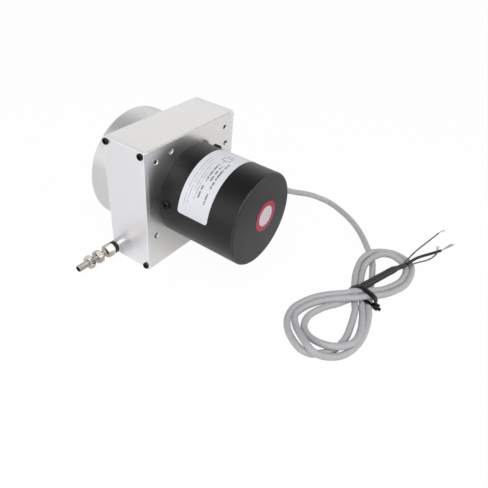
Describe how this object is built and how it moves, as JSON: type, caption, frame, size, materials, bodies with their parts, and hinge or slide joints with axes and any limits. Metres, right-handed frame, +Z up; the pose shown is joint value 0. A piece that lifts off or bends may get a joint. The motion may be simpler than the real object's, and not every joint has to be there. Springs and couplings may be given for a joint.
{
  "type": "draw wire displacement sensor",
  "caption": "Square aluminium draw wire displacement sensor with a black encoder cover, a turned spring housing, a threaded wire end and a coiled grey signal cable.",
  "frame": {"origin": "centre of the square body's bottom face, which the sensor stands on", "axes": "+Z up, -Y towards the encoder cover, -X the way the wire is pulled"},
  "size_m": [0.2813, 0.2658, 0.11],
  "materials": {
    "body_satin": "satin anodised",
    "housing_satin": "turned satin",
    "cover_black": "black anodised satin",
    "screw_black": "black oxide",
    "steel": "bright",
    "nickel": "nickel plated",
    "coupling": "machined",
    "rubber": "matte",
    "gland_plastic": "matte black",
    "disc": "smoked",
    "board": "green laminate",
    "spacer": "off-white",
    "label": "white film",
    "badge": "red film",
    "cable_grey": "soft grey sheath",
    "tie_black": "black",
    "shrink": "matte black",
    "brown": "brown insulation",
    "blue": "blue insulation",
    "tinned": "tinned strands"
  },
  "bodies": {
    "housing": {"body_profile": "body_satin", "left_end_plate": "body_satin", "right_end_plate": "body_satin", "spring_housing": "housing_satin", "front_flange": "housing_satin", "encoder_base": "housing_satin", "encoder_cover": "cover_black", "left_plate_screws": "screw_black", "right_plate_screws": "screw_black", "cover_screws": "screw_black", "rear_bearing": "steel", "front_bearing": "steel", "encoder_bearing": "steel", "spring_housing_screws": "steel", "flange_screws": "steel", "encoder_screws": "steel", "board_screws": "steel", "power_spring": "steel", "guide_bush": "steel", "wire_nozzle": "nickel", "encoder_standoffs": "coupling", "cover_seal": "rubber", "gland_seal": "rubber", "gland_body": "gland_plastic", "gland_nut": "gland_plastic", "gland_locknut": "gland_plastic", "optical_head": "disc", "circuit_board": "board", "board_spacers": "spacer", "board_connector": "spacer", "rating_label": "label", "end_badge": "badge", "cable": "cable_grey", "cable_coil": "cable_grey", "cable_tie": "tie_black", "screen_lead": "tie_black", "end_sleeve": "shrink", "brown_lead": "brown", "blue_lead": "blue", "bare_tips": "tinned"},
    "drum": {"measuring_drum": "housing_satin", "drum_shaft": "steel", "shaft_circlips": "steel", "drum_set_screw": "steel", "wire_winding": "steel", "spring_arbor": "housing_satin", "shaft_coupling": "coupling", "encoder_shaft": "steel", "code_disc": "disc", "disc_collar": "disc"},
    "wire_end": {"draw_wire": "steel", "wire_ferrule": "steel", "wire_buffer": "rubber"},
    "terminal": {"terminal_sleeve": "nickel", "terminal_stud": "nickel", "terminal_nuts": "nickel"}
  },
  "joints": [
    {"name": "drum_spin", "type": "hinge", "parent": "housing", "child": "drum", "pos_m": [0, 0, 0.057], "axis": [0, 1, 0], "range_deg": [0, 1868], "stiffness_Nm_per_rad": 0.0025, "springref_deg": -4297.18, "deforming": ["power_spring"]},
    {"name": "wire_pull", "type": "slide", "parent": "housing", "child": "wire_end", "axis": [-1, 0, 0], "range_m": [0, 1.5], "deforming": ["draw_wire"]},
    {"name": "terminal_spin", "type": "hinge", "parent": "wire_end", "child": "terminal", "pos_m": [-0.0711, 0.0132, 0.011], "axis": [-1, 0, 0], "continuous": true}
  ],
  "couplings": [
    {"joint": "wire_pull", "follows": "drum_spin", "m_per_rad": 0.046}
  ]
}
